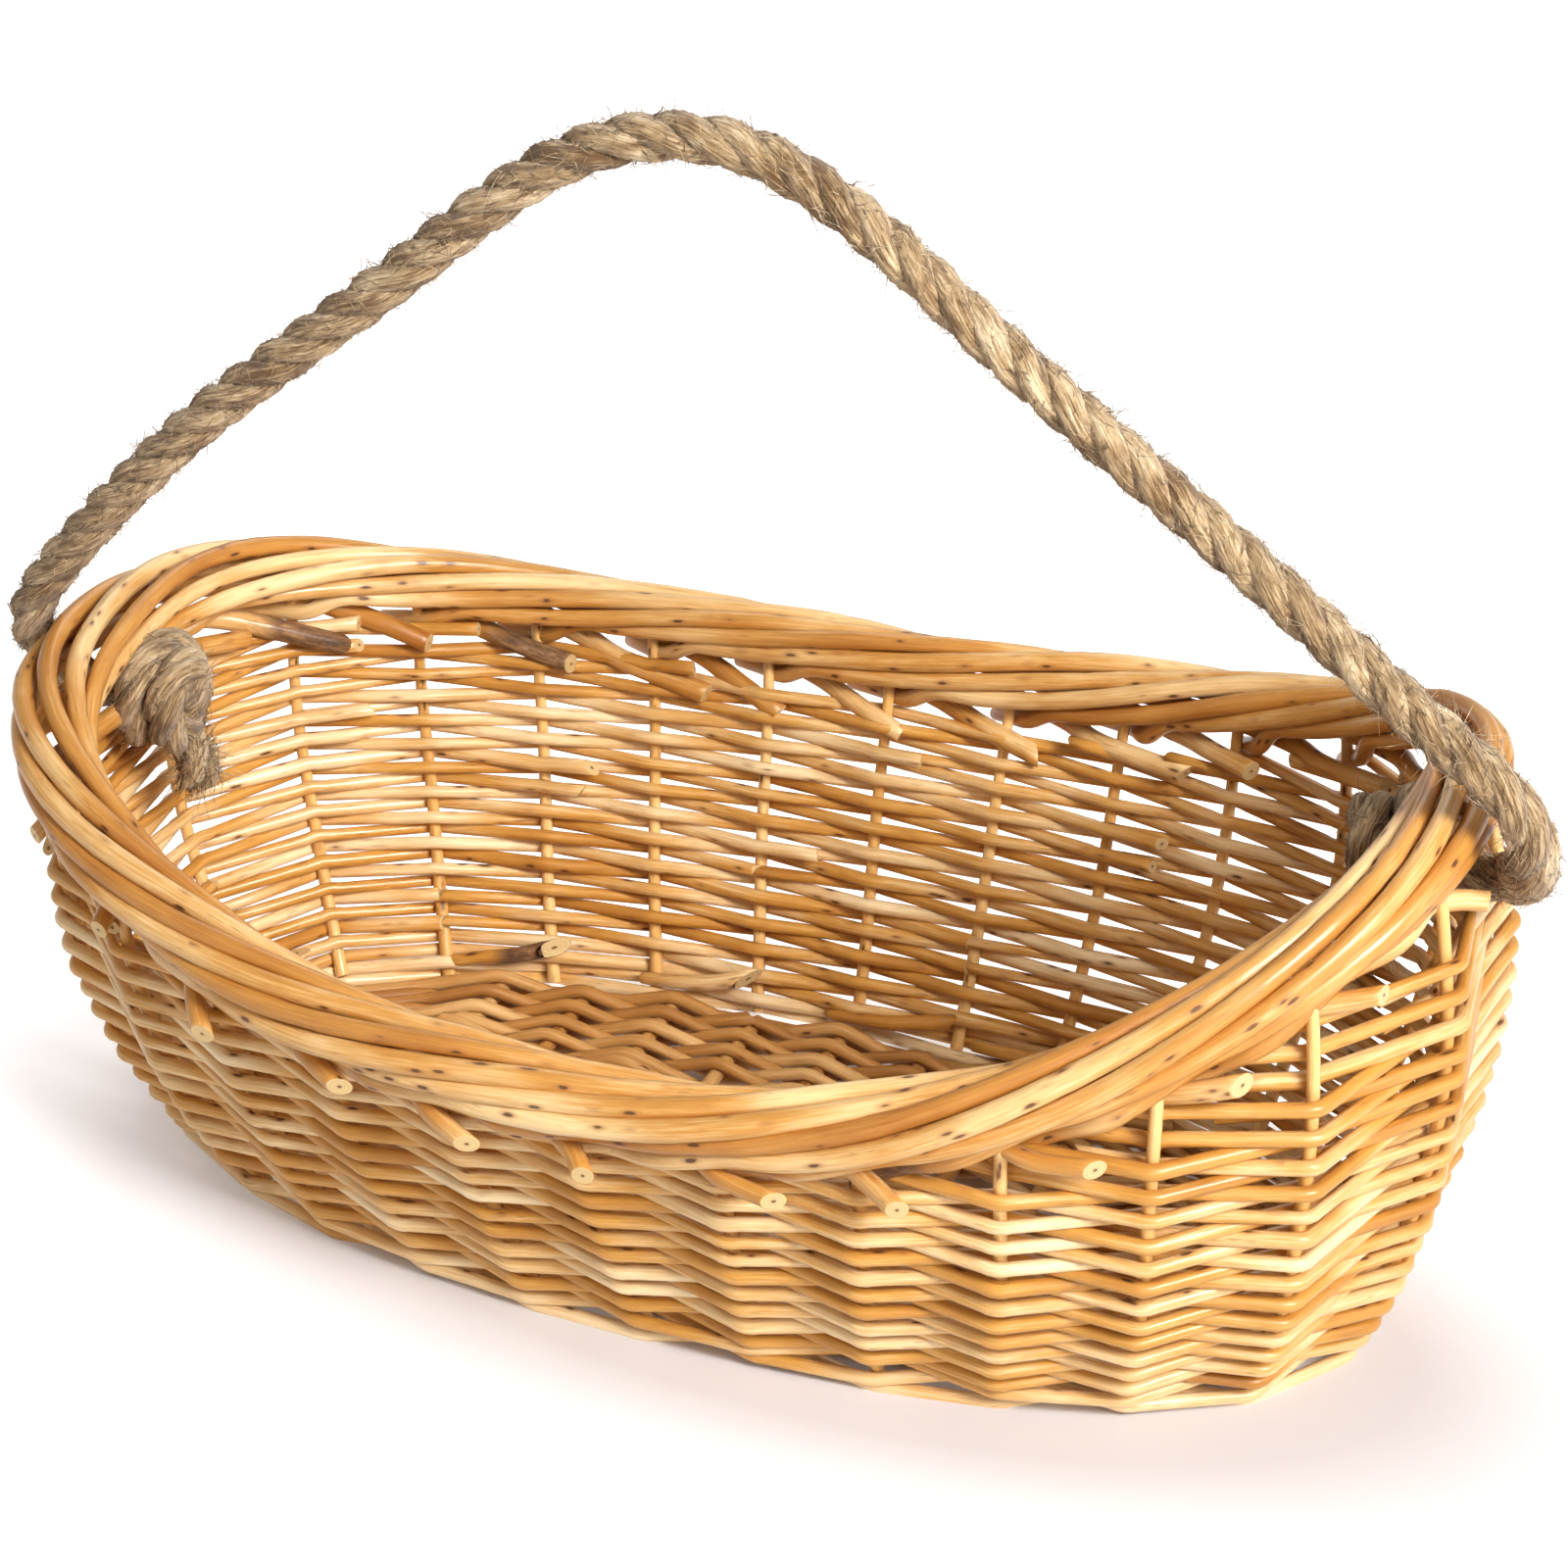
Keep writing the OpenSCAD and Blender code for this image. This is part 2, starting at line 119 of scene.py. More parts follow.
def wall(t, z):
    """The wall's middle surface, in direction t round the basket and at height z."""
    t, z = np.broadcast_arrays(np.asarray(t, float), np.asarray(z, float))
    share = ((z - WALL_FOOT) / (rim_height(t) - WALL_FOOT))[..., None]
    end_belly = np.where(np.cos(t) > 0, HIGH_END_BELLY, LOW_END_BELLY)
    belly = (SIDE_BELLY + (end_belly - SIDE_BELLY) * np.cos(t) ** 2)[..., None]
    xy = base_xy(t) + (rim_xy(t) - base_xy(t)) * (share + belly * share * (1 - share))
    return np.concatenate([xy, z[..., None]], -1)


def wall_up(t, z):
    return unit(wall(t, z + MM) - wall(t, z))


def wall_out(t, z):
    along = wall(np.asarray(t) + SMALL_TURN, z) - wall(np.asarray(t) - SMALL_TURN, z)
    return unit(np.cross(along, wall_up(t, z)))


def running_length(points):
    """Distance along a line of points, from its first point to each."""
    return np.concatenate([[0], np.cumsum(np.linalg.norm(np.diff(points, axis=0), axis=1))])


round_t = np.linspace(0, 2 * math.pi, 361)
round_s = running_length(base_xy(round_t))


def stake_t(i):
    """Direction of stake number i. Parts of a number fall between stakes."""
    turns, share = np.divmod((np.asarray(i, float) + 0.5) / STAKES, 1)
    return 2 * math.pi * turns + np.interp(share * round_s[-1], round_s, round_t)


# ---------------------------------------------------------------- curves and rods
def smooth_curve(points, step):
    """A curve through the points, sampled about every step."""
    p = np.asarray(points, float)
    padded = np.concatenate([[2 * p[0] - p[1]], p, [2 * p[-1] - p[-2]]])
    out = []
    for a, b, c, d in zip(padded, padded[1:], padded[2:], padded[3:]):
        count = max(2, int(math.ceil(np.linalg.norm(c - b) / step)))
        f = (np.arange(count) / count)[:, None]
        out.append(b + f / 2 * (c - a + f * (2 * a - 5 * b + 4 * c - d + f * (3 * (b - c) + d - a))))
    return np.concatenate(out + [p[-1:]])


def bent_line(points, reach, push=0.0):
    """Straight runs between the points, each corner eased over reach and pushed out by push."""
    longest = 0.45              # share of a run that the corner at its end may take up
    p = np.asarray(points, float)
    out = [p[0]]
    for a, b, c in zip(p, p[1:], p[2:]):
        before = b + unit(a - b) * min(reach, longest * np.linalg.norm(a - b))
        after = b + unit(c - b) * min(reach, longest * np.linalg.norm(c - b))
        peak = b + unit(b - (before + after) / 2) * push
        out += [(out[-1] * 2 + before) / 3, (out[-1] + before * 2) / 3]
        for f in (0.0, 0.25, 0.5, 0.75, 1.0):
            out.append((1 - f) ** 2 * before + 2 * f * (1 - f) * peak + f * f * after)
    out += [(out[-1] + p[-1]) / 2, p[-1]]
    return np.array(out)


def frames(path):
    """Direction of travel and two side directions that don't twist, at each point of a path."""
    d = unit(np.gradient(path, axis=0))
    steep = abs(d[0][2]) >= 0.9
    start = np.cross(d[0], ACROSS if steep else UP)
    u = [unit(start)]
    for a in d[1:]:
        u.append(unit(u[-1] - a * (u[-1] @ a)))
    u = np.array(u)
    return d, u, np.cross(d, u)


class Bundle:
    """Closed rods that become one mesh, with what the materials need stored at each point."""

    def __init__(self, name):
        self.name = name
        self.rng = np.random.default_rng(list(name.encode()))
        self.points, self.loops, self.sizes, self.flat = [], [], [], []
        self.space, self.tone, self.cut, self.bark = [], [], [], []
        self.count = 0

    def add(self, path, radius, sides=12, tone=None, bark=0.0, slants=(0.0, 0.0), lumps=None, facing=None):
        """One rod along a path. Radius and bark may vary along it, and lumps scales it by section and side.

        Each cut slants by its share of slants, towards a random side. The last may face a direction.
        """
        rng = self.rng
        n = len(path)
        d, u, v = frames(path)
        angle = 2 * math.pi * np.arange(sides) / sides
        radius = np.broadcast_to(np.asarray(radius, float), (n,))
        around = np.cos(angle)[None, :, None] * u[:, None] + np.sin(angle)[None, :, None] * v[:, None]
        reach = radius[:, None] * (np.ones((n, sides)) if lumps is None else lumps)
        rings = path[:, None] + reach[..., None] * around
        for end, slant in ((0, slants[0]), (n - 1, slants[1])):
            rings[end] += (slant * radius[end] * np.cos(angle - rng.uniform(0, 6.3)))[:, None] * d[end]
        if facing is not None:
            off_plane = (rings[-1] - path[-1]) @ facing / (d[-1] @ facing)
            rings[-1] -= off_plane[:, None] * d[-1]
        along = running_length(path) + rng.uniform(0, 5)
        tone = rng.uniform(0, 1) if tone is None else tone
        flat_space = np.stack([
            radius[:, None] * np.cos(angle), radius[:, None] * np.sin(angle),
            np.repeat(along[:, None], sides, 1)], -1)
        bark = np.broadcast_to(np.asarray(bark, float), (n,))
        lip = 0.07              # of the radius, for the bevel round a cut end
        blocks = [(rings, flat_space, 0.0, np.repeat(bark[:, None], sides, 1))]
        for end, outward in ((0, -1), (n - 1, 1)):
            middle = rings[end].mean(0)
            shift = outward * lip * radius[end] * d[end]
            lipped = middle + (rings[end] - middle) * (1 - lip) + shift
            centre = (middle + shift)[None]
            space = flat_space[end] * np.array([1 - lip, 1 - lip, 1])
            centre_space = space.mean(0)[None]
            blocks.append((np.concatenate([lipped, centre])[None],
                           np.concatenate([space, centre_space])[None], 1.0,
                           np.full((1, sides + 1), bark[end])))
        base = self.count
        for points, space, cut, dark in blocks:
            flat_points = points.reshape(-1, 3)
            self.points.append(flat_points)
            self.space.append(space.reshape(-1, 3))
            self.tone.append(np.full(len(flat_points), tone))
            self.cut.append(np.full(len(flat_points), cut))
            self.bark.append(dark.ravel())
            self.count += len(flat_points)
        j = np.arange(sides)
        k = (j + 1) % sides
        row = base + sides * np.arange(n - 1)[:, None]
        quads = np.stack([row + j, row + k, row + sides + k, row + sides + j], -1).reshape(-1, 4)
        first = base + n * sides
        last = first + sides + 1
        end_row = base + (n - 1) * sides
        lips = np.concatenate([
            np.stack([base + k, base + j, first + j, first + k], -1),
            np.stack([end_row + j, end_row + k, last + k, last + j], -1)])
        fans = np.concatenate([
            np.stack([first + k, first + j, np.full(sides, first + sides)], -1),
            np.stack([last + j, last + k, np.full(sides, last + sides)], -1)])
        for faces, flat in ((quads, False), (lips, False), (fans, True)):
            self.loops.append(faces.ravel())
            self.sizes.append(np.full(len(faces), faces.shape[1]))
            self.flat.append(np.full(len(faces), flat))

    def finish(self, material, body, replaces=()):
        """Makes the mesh, gives it its material and hangs it on its body."""
        mesh = bpy.data.meshes.new(self.name)
        loops, sizes = np.concatenate(self.loops), np.concatenate(self.sizes)
        mesh.vertices.add(self.count)
        mesh.vertices.foreach_set("co", np.concatenate(self.points).astype(np.float32).ravel())
        mesh.loops.add(len(loops))
        mesh.loops.foreach_set("vertex_index", loops.astype(np.int32))
        mesh.polygons.add(len(sizes))
        starts = np.concatenate([[0], np.cumsum(sizes)[:-1]])
        mesh.polygons.foreach_set("loop_start", starts.astype(np.int32))
        mesh.update(calc_edges=True)
        mesh.polygons.foreach_set("use_smooth", ~np.concatenate(self.flat))
        stored = mesh.attributes.new("rod_space", "FLOAT_VECTOR", "POINT")
        stored.data.foreach_set("vector", np.concatenate(self.space).astype(np.float32).ravel())
        for label, values in (("tone", self.tone), ("cut", self.cut), ("bark", self.bark)):
            stored = mesh.attributes.new(label, "FLOAT", "POINT")
            stored.data.foreach_set("value", np.concatenate(values).astype(np.float32))
        mesh.materials.append(material)
        mesh.validate()
        piece = bpy.data.objects.new(self.name, mesh)
        bpy.context.scene.collection.objects.link(piece)
        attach(piece, body)
        if replaces:
            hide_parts(*replaces)


# ---------------------------------------------------------------- materials
class Shader:
    """A small helper that adds nodes to a material and joins them."""

    def __init__(self, name):
        self.material = bpy.data.materials.new(name)
        self.material.use_nodes = True
        self.tree = self.material.node_tree
        self.principled = self.tree.nodes["Principled BSDF"]

    def node(self, kind, inputs=None, **settings):
        made = self.tree.nodes.new(kind)
        for key, value in settings.items():
            setattr(made, key, value)
        for key, value in (inputs or {}).items():
            if isinstance(value, bpy.types.NodeSocket):
                self.tree.links.new(value, made.inputs[key])
            else:
                made.inputs[key].default_value = value
        return made

    def attribute(self, name, output="Fac"):
        return self.node("ShaderNodeAttribute", attribute_name=name).outputs[output]

    def math(self, operation, a, b=0.0, c=0.0):
        return self.node("ShaderNodeMath", {0: a, 1: b, 2: c}, operation=operation).outputs[0]

    def remap(self, value, low, high, to_low=0.0, to_high=1.0):
        made = self.node("ShaderNodeMapRange", {
            "Value": value, "From Min": low, "From Max": high, "To Min": to_low, "To Max": to_high})
        return made.outputs[0]

    def scaled(self, vector, scale):
        made = self.node("ShaderNodeVectorMath", {0: vector, 1: scale}, operation="MULTIPLY")
        return made.outputs[0]

    def noise(self, vector, scale, detail=3.0, roughness=0.6, seed=None):
        """Noise in space, or another pattern for each value of seed."""
        inputs = {"Vector": vector, "Scale": scale, "Detail": detail, "Roughness": roughness}
        if seed is None:
            return self.node("ShaderNodeTexNoise", inputs).outputs["Fac"]
        inputs["W"] = seed
        return self.node("ShaderNodeTexNoise", inputs, noise_dimensions="4D").outputs["Fac"]

    def ramp(self, value, stops):
        made = self.node("ShaderNodeValToRGB", {"Fac": value})
        elements = made.color_ramp.elements
        while len(elements) < len(stops):
            elements.new(0.5)
        for element, (position, color) in zip(elements, stops):
            element.position = position
            element.color = (*color, 1.0)
        return made.outputs["Color"]

    def mix(self, factor, a, b):
        made = self.node("ShaderNodeMix", data_type="RGBA")
        for index, value in ((0, factor), (6, a), (7, b)):
            if isinstance(value, bpy.types.NodeSocket):
                self.tree.links.new(value, made.inputs[index])
            elif index == 0:
                made.inputs[index].default_value = value
            else:
                made.inputs[index].default_value = (*value, 1.0)
        return made.outputs[2]

    def bump(self, height, distance, strength=1.0):
        made = self.node("ShaderNodeBump", {
            "Height": height, "Distance": distance, "Strength": strength})
        return made.outputs["Normal"]

    def set(self, **values):
        for key, value in values.items():
            socket = self.principled.inputs[key.replace("_", " ")]
            if isinstance(value, bpy.types.NodeSocket):
                self.tree.links.new(value, socket)
            else:
                socket.default_value = value
        return self.material


def willow(name, pale, honey, amber, speck_share=0.22, roughness=0.42):
    """Peeled, buff willow: long grain, blotches, scars where side shoots grew, and cut ends."""
    sh = Shader(name)
    space = sh.attribute("rod_space", "Vector")
    tone = sh.attribute("tone")
    cut = sh.attribute("cut")
    bark = sh.attribute("bark")
    grain = sh.noise(sh.scaled(space, (1, 1, 0.035)), 1500, 4.0, 0.65)
    blotch = sh.noise(sh.scaled(space, (1, 1, 0.22)), 90, 3.0, 0.55, sh.math("MULTIPLY", tone, 40))
    patch = sh.noise(space, 14, 2.0, 0.5, sh.math("MULTIPLY", tone, 17))
    depth = sh.math("MULTIPLY_ADD", tone, 0.3, sh.math("MULTIPLY_ADD", blotch, 0.8, -0.17))
    depth = sh.math("MULTIPLY_ADD", sh.math("SUBTRACT", patch, 0.5), 0.8, depth)
    depth = sh.math("MULTIPLY_ADD", sh.math("SUBTRACT", grain, 0.5), 0.55, depth)
    color = sh.ramp(depth, [(0.10, pale), (0.42, honey), (0.85, amber)])

    # Scars: ragged brown specks of two sizes, each with a reddish halo.
    ragged = sh.math("MULTIPLY", sh.math("SUBTRACT", grain, 0.5), 0.45)
    for scale, share, reach in ((165, 0.11, 0.15), (330, speck_share, 0.22)):
        cells = sh.node("ShaderNodeTexVoronoi", {
            "Vector": sh.scaled(space, (1, 1, 0.34)), "Scale": scale, "Randomness": 1.0})
        chosen = sh.math("LESS_THAN", sh.node("ShaderNodeSeparateColor", {
            "Color": cells.outputs["Color"]}).outputs[0], share)
        away = sh.math("ADD", cells.outputs["Distance"], ragged)
        halo = sh.math("MULTIPLY", chosen, sh.remap(away, 2.1 * reach, 0.8 * reach))
        speck = sh.math("MULTIPLY", chosen, sh.remap(away, reach, 0.6 * reach))
        color = sh.mix(sh.math("MULTIPLY", halo, 0.5), color, (0.38, 0.14, 0.035))
        color = sh.mix(sh.math("MULTIPLY", speck, 0.85), color, (0.085, 0.032, 0.012))

    # Fine dark flecks along the grain.
    fleck = sh.remap(sh.noise(sh.scaled(space, (1, 1, 0.12)), 700, 2.0), 0.66, 0.76)
    color = sh.mix(sh.math("MULTIPLY", fleck, 0.5), color, (0.26, 0.105, 0.03))

    # Bark that was left on some butts.
    rough_bark = sh.noise(sh.scaled(space, (1, 1, 0.3)), 420, 5.0, 0.75)
    bark_color = sh.ramp(rough_bark, [
        (0.3, (0.06, 0.033, 0.018)), (0.52, (0.24, 0.125, 0.058)), (0.72, (0.52, 0.32, 0.15))])
    bark_edge = sh.math("ADD", bark, sh.math("MULTIPLY_ADD", rough_bark, 0.6, -0.3))
    bark_share = sh.math("MULTIPLY", sh.remap(bark_edge, 0.35, 0.6), sh.math("GREATER_THAN", bark, 0.02))
    color = sh.mix(bark_share, color, bark_color)

    # A cut end is creamy, with rings and a brown pith.
    parts = sh.node("ShaderNodeSeparateXYZ", {"Vector": space})
    square_x = sh.math("POWER", parts.outputs[0], 2.0)
    square_y = sh.math("POWER", parts.outputs[1], 2.0)
    across = sh.math("SQRT", sh.math("ADD", square_x, square_y))
    rings = sh.math("SINE", sh.math("MULTIPLY", across, 7000.0))
    end_color = sh.mix(sh.math("MULTIPLY_ADD", rings, 0.16, 0.25), (0.74, 0.55, 0.28), (0.50, 0.31, 0.12))
    end_color = sh.mix(sh.remap(across, 0.7 * MM, 0.4 * MM), end_color, (0.20, 0.095, 0.035))
    end_color = sh.mix(sh.math("MULTIPLY", grain, 0.3), end_color, (0.42, 0.26, 0.12))
    color = sh.mix(sh.remap(cut, 0.3, 0.7), color, end_color)

    height = sh.math("MULTIPLY_ADD", grain, 0.35, sh.math("MULTIPLY", blotch, 0.5))
    height = sh.math("MULTIPLY_ADD", speck, -0.8, height)
    height = sh.math("MULTIPLY_ADD", sh.math("MULTIPLY", rough_bark, bark_share), 4.0, height)
    shine = sh.math("MULTIPLY_ADD", grain, 0.16, roughness - 0.08)
    shine = sh.math("MULTIPLY_ADD", sh.math("MAXIMUM", bark_share, cut), 0.35, shine)
    return sh.set(Base_Color=color, Roughness=shine, Normal=sh.bump(height, 0.22 * MM, 0.7),
                  Coat_Weight=0.45, Coat_Roughness=0.26, Specular_IOR_Level=0.45)


def jute(name, light, middle, dark):
    """Hairy jute: fine fibres along each yarn, pale stray threads, stains and tones that differ at random,
    and painted shade: the colour darkens in the bump's hollows and pales on its tops.
    """
    sh = Shader(name)
    space = sh.attribute("rod_space", "Vector")
    tone = sh.attribute("tone")
    fibre = sh.noise(sh.scaled(space, (1, 1, 0.07)), 1700, 4.0, 0.7)
    clump = sh.noise(sh.scaled(space, (1, 1, 0.3)), 420, 3.0, 0.6, sh.math("MULTIPLY", tone, 23))
    stain = sh.noise(space, 60, 2.0, 0.5, tone)
    # Painted shade and light: fibre and clump also make the bump, so the colour is darker where the surface
    # is low and paler where it is high; stain and tone differ at random.
    depth = sh.math("MULTIPLY_ADD", fibre, 1.05, sh.math("MULTIPLY_ADD", clump, 0.7, -0.43))
    depth = sh.math("MULTIPLY_ADD", sh.math("SUBTRACT", stain, 0.5), 0.5, depth)
    depth = sh.math("MULTIPLY_ADD", sh.math("SUBTRACT", tone, 0.5), 0.5, depth)
    color = sh.ramp(depth, [(0.30, dark), (0.5, middle), (0.70, light)])
    knotty = sh.remap(sh.noise(space, 330, 1.0, 0.4), 0.70, 0.76)
    color = sh.mix(sh.math("MULTIPLY", knotty, 0.5), color, (0.085, 0.052, 0.028))
    height = sh.math("MULTIPLY_ADD", fibre, 1.0, sh.math("MULTIPLY", clump, 0.7))
    return sh.set(Base_Color=color, Roughness=0.88, Normal=sh.bump(height, 1.1 * MM),
                  Specular_IOR_Level=0.2, Sheen_Weight=0.35, Sheen_Roughness=0.5)


weaver_willow = willow("weaver_willow", (0.90, 0.70, 0.42), (0.64, 0.33, 0.075), (0.36, 0.125, 0.016))
stake_willow = willow("stake_willow", (0.88, 0.64, 0.31), (0.77, 0.46, 0.16), (0.55, 0.26, 0.06))
border_willow = willow("border_willow", (0.86, 0.62, 0.32), (0.59, 0.29, 0.07), (0.32, 0.10, 0.013), 0.2)
base_willow = willow("base_willow", (0.70, 0.44, 0.19), (0.50, 0.25, 0.07), (0.27, 0.10, 0.022), 0.22, 0.5)
rope_jute = jute("jute_rope", (0.86, 0.70, 0.47), (0.56, 0.39, 0.215), (0.19, 0.105, 0.042))


# ---------------------------------------------------------------- base
LONG_STICKS = 3
CROSS_STICKS = 9
CROSS_PITCH = 30.1 * MM
STICK_R = 2.6 * MM
BASE_WEAVER_R = 2.25 * MM
BASE_ROUNDS = 9
BASE_ROUND_PITCH = 4.82 * MM
FILLING_RODS = 3                               # on each side of the middle
CROSS_Z = 3 * STICK_R
BASE_SWING = STICK_R + 1.02 * BASE_WEAVER_R    # of a base weaver, above and below the sticks
HOOP_R = 3 * MM
BASE_CORNER_REACH = 3.2 * MM
ROUNDS_INSET = 15.1 * MM                       # from the base's outline to the first round


def cross_x(i):
    return (i - (CROSS_STICKS - 1) / 2) * CROSS_PITCH


def half_oval_y(x, a, b):
    return b * (1 - min(abs(x) / a, 1.0) ** BASE_SQUARENESS) ** (1 / BASE_SQUARENESS)


def build_base():
    hoop = Bundle("base_hoop_rods")
    t = np.linspace(0.3, 2 * math.pi + 0.42, 190)      # its ends overlap by a little
    x, y = oval(t, BASE_A - HOOP_INSET - HOOP_R, BASE_B - HOOP_INSET - HOOP_R, BASE_SQUARENESS)
    lift = HOOP_R + 0.6 * MM * np.clip((t - 6.2) / 0.5, 0, 1)
    hoop.add(np.stack([x + BASE_SHIFT, y, lift], -1), HOOP_R * np.linspace(1.0, 0.8, len(t)), 14)
    hoop.finish(base_willow, "basket", ["base_hoop"])

    long_sticks = Bundle("base_long_stick_rods")
    x = np.linspace(stick_low[0], stick_high[0], 40)
    for y in np.linspace(stick_low[1] + STICK_R, stick_high[1] - STICK_R, LONG_STICKS):
        long_sticks.add(np.stack([x, np.full(len(x), y), np.full(len(x), STICK_R)], -1), STICK_R, 14)
    long_sticks.finish(base_willow, "basket", ["base_long_sticks"])

    sticks = Bundle("base_cross_stick_rods")
    room = HOOP_INSET + 2 * HOOP_R
    for i in range(CROSS_STICKS):
        half_y = half_oval_y(cross_x(i), BASE_A - room, BASE_B - room) - MM
        y = np.linspace(-half_y, half_y, 30)
        sway = 0.5 * MM * np.sin(y * 40 + i)
        sticks.add(np.stack([cross_x(i) + BASE_SHIFT + sway, y, np.full(len(y), CROSS_Z)], -1),
                   STICK_R * np.linspace(1.03, 0.97, len(y)), 14, slants=(0.4, 0.5))
    sticks.finish(base_willow, "basket", ["base_cross_sticks"])

    rounds = Bundle("base_round_rods")
    for j in range(BASE_ROUNDS):
        a = BASE_A - ROUNDS_INSET - j * BASE_ROUND_PITCH
        b = BASE_B - ROUNDS_INSET - j * BASE_ROUND_PITCH
        path = base_round_path(j, a, b, rounds.rng)
        start = int(rounds.rng.integers(len(path)))
        path = np.roll(path, -start, axis=0)
        path = bent_line(np.concatenate([path, path[:1]]), BASE_CORNER_REACH)
        taper = np.linspace(1.08, 0.92, len(path))
        rounds.add(path, BASE_WEAVER_R * taper, 12, slants=(0.8, 0.8))
    rounds.finish(base_willow, "basket", ["base_rounds"])

    filling = Bundle("base_filling_rods")
    last_b = BASE_B - ROUNDS_INSET - (BASE_ROUNDS - 1) * BASE_ROUND_PITCH
    for side in (-1, 1):
        for k in range(1, FILLING_RODS + 1):
            y = last_b - (k + 0.35) * BASE_ROUND_PITCH
            over = [1 if (i + k) % 2 else -1 for i in range(CROSS_STICKS)]
            points = [[cross_x(i) + BASE_SHIFT, side * y, CROSS_Z + over[i] * BASE_SWING]
                      for i in range(CROSS_STICKS)]
            points.insert(0, [cross_x(-0.25) + BASE_SHIFT, side * y, CROSS_Z + over[0] * BASE_SWING])
            points.append([cross_x(CROSS_STICKS - 0.75) + BASE_SHIFT, side * y,
                           CROSS_Z + over[-1] * BASE_SWING])
            path = bent_line(points, BASE_CORNER_REACH)
            filling.add(path, BASE_WEAVER_R * np.linspace(1.05, 0.95, len(path)), 12, slants=(0.6, 0.6))
    filling.finish(base_willow, "basket", ["base_filling"])


def base_round_path(j, a, b, rng):
    """One oval of base weaving: over and under the cross sticks, and round both ends."""
    points = []
    for side in (1, -1):
        order = range(CROSS_STICKS - 1, -1, -1) if side > 0 else range(CROSS_STICKS)
        for i in order:
            lift = BASE_SWING if (i + j) % 2 == 0 else -BASE_SWING
            points.append([cross_x(i) + BASE_SHIFT, side * half_oval_y(cross_x(i), a, b),
                           CROSS_Z + lift + rng.uniform(-0.3, 0.3) * MM])
        turn = np.arccos((cross_x(CROSS_STICKS - 1) / a) ** (BASE_SQUARENESS / 2))
        for t in np.linspace(turn, -turn, 9)[1:-1]:
            x, y = oval(t, a, b, BASE_SQUARENESS)
            points.append([-side * x + BASE_SHIFT, side * y, 2 * STICK_R + 1.1 * BASE_WEAVER_R])
    return np.array(points)


# ---------------------------------------------------------------- wall
STAKE_R = 2.1 * MM
WEAVER_R = 2.25 * MM
WALE_R = 2.25 * MM
WALE_RODS = 3
WALE_Z0 = 2.8 * MM
WALE_PITCH = 3.8 * MM
BUTT_R = 2.9 * MM
ROW_Z0 = 14.75 * MM
ROW_PITCH = 4.2 * MM
ROW_FAN = 0.1                   # how much wider the rows lie where the rim is high
FULL_ROWS = 20                  # rows that go all the way round
MOST_ROWS = 40                  # at the high end
ROW_HEADROOM = 15.35 * MM       # from the last row to the rim's centre line
ROPE_R = 6.8 * MM
CORNER_REACH = 4.2 * MM

low_knot_low, low_knot_high = corners("knot_low_end")
high_knot_low, high_knot_high = corners("knot_high_end")
LOW_HOLE_H = (low_knot_low[2] + low_knot_high[2]) / 2
HIGH_HOLE_H = (high_knot_low[2] + high_knot_high[2]) / 2


def row_height(k, t):
    return ROW_Z0 + k * ROW_PITCH * (1 + ROW_FAN * (rim_height(t) / DIP_H - 1))


def weave_point(k, i, offset, rng):
    """A point of row k at stake i, offset outwards from the wall's middle."""
    t = stake_t(i)
    z = row_height(k, t) + rng.uniform(-0.5, 0.5) * MM
    return wall(t, z) + offset * wall_out(t, z)


def row_rod(bundle, k, first, last, butt, tip):
    """One weaver of row k from stake first to stake last, with its butt or tip left free inside."""
    rng = bundle.rng
    reach = STAKE_R + WEAVER_R
    points = []
    if butt:
        points.append(weave_point(k + 0.25, first - rng.uniform(0.35, 0.6), -reach - 1.7 * WEAVER_R, rng))
    for i in range(first, last + 1):
        outside = (i + k) % 2 == 0
        points.append(weave_point(k, i, (reach if outside else -reach) + rng.uniform(-0.2, 0.2) * MM, rng))
    if butt:
        points[1] = weave_point(k, first, -reach - 0.5 * WEAVER_R, rng)
    if tip:
        points.append(weave_point(k + 0.2, last + rng.uniform(0.25, 0.5), -reach - 1.2 * WEAVER_R, rng))
    path = bent_line(points, CORNER_REACH, 0.9 * MM)
    taper = np.linspace(1.1, 0.9, len(path)) * rng.uniform(0.9, 1.08)
    bundle.add(path, WEAVER_R * taper, 12, slants=(rng.uniform(0, 0.9), 0.8))


def row_fits(k, i):
    """Whether row k has room under the border at stake i."""
    t = stake_t(i)
    return row_height(k, t) < rim_height(t) - ROW_HEADROOM


def row_at_hole(k, i):
    """Whether row k would cross a hole of the rope between stake i and the next one."""
    if i not in (STAKES - 1, STAKES // 2 - 1):
        return False
    hole = HIGH_HOLE_H if i == STAKES - 1 else LOW_HOLE_H
    height = (row_height(k, stake_t(i)) + row_height(k, stake_t(i + 1))) / 2
    return abs(height - hole) < ROPE_R + WEAVER_R + MM


def row_runs(k):
    """First and last stake of every stretch of row k that has room."""
    there = [bool(row_fits(k, i) and row_fits(k, (i + 1) % STAKES) and not row_at_hole(k, i))
             for i in range(STAKES)]
    runs = []
    for i in range(STAKES):
        if there[i] and not there[i - 1]:
            end = i
            while there[end % STAKES]:
                end += 1
            runs.append((i, end))
    return runs


